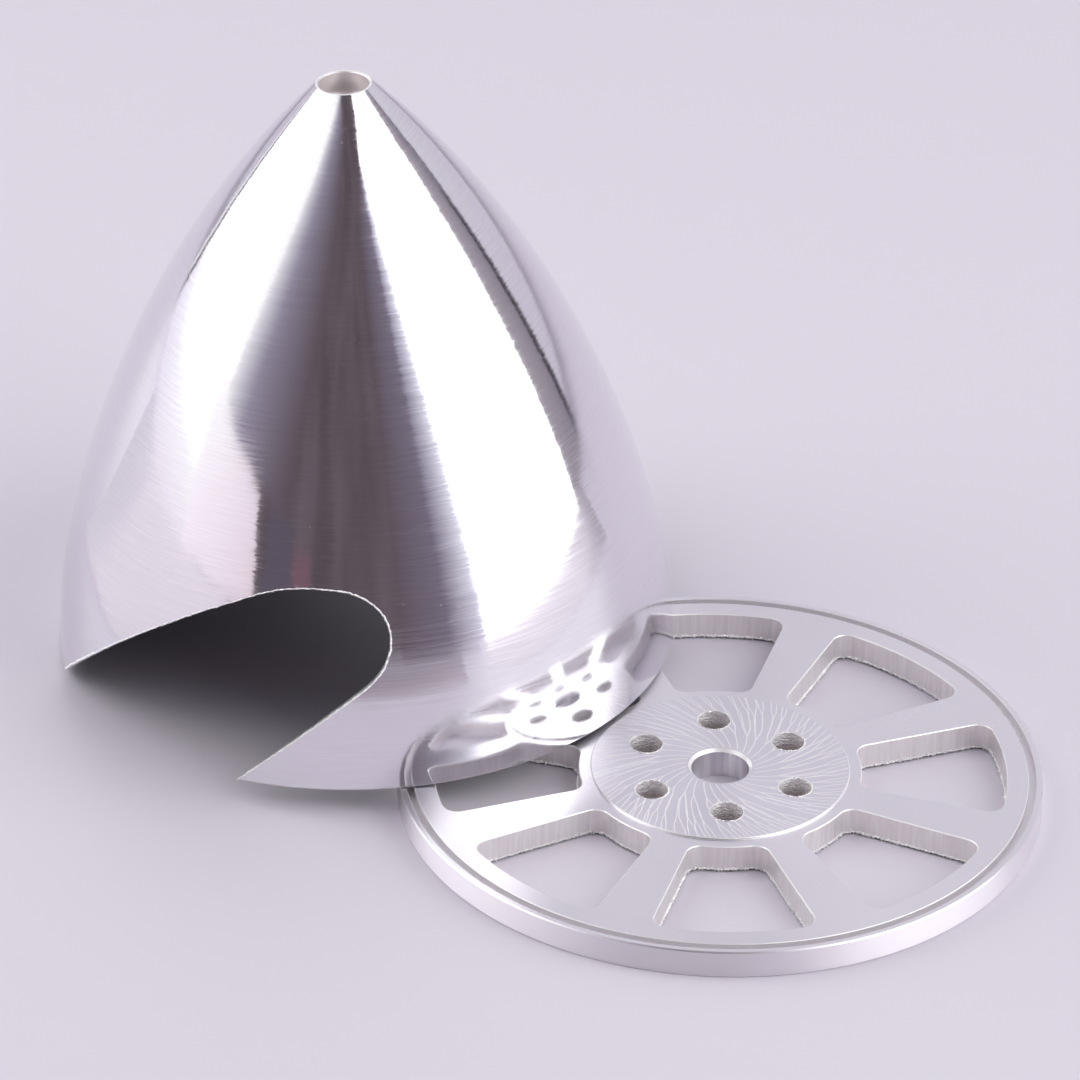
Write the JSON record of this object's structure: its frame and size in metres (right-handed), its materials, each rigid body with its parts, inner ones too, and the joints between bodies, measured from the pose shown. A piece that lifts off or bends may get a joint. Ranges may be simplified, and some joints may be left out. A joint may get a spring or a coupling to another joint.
{
  "type": "propeller spinner",
  "caption": "Turned aluminium spinner for a two-blade propeller: pointed shell with slanted blade openings, leaning on its spoked back plate.",
  "frame": {"origin": "centre of the back plate's bore, in the plane of its back face, which lies on the ground", "axes": "+Z along the bore axis, up through the plate's front face; the loose shell lies behind and to the left, towards -X and +Y"},
  "size_m": [0.1813, 0.163, 0.1171],
  "materials": {
    "shell_aluminium": "polished, with fine turning lines",
    "plate_aluminium": "satin, as machined"
  },
  "bodies": {
    "root": {"spinner_shell": "shell_aluminium", "back_plate": "plate_aluminium"}
  },
  "joints": []
}
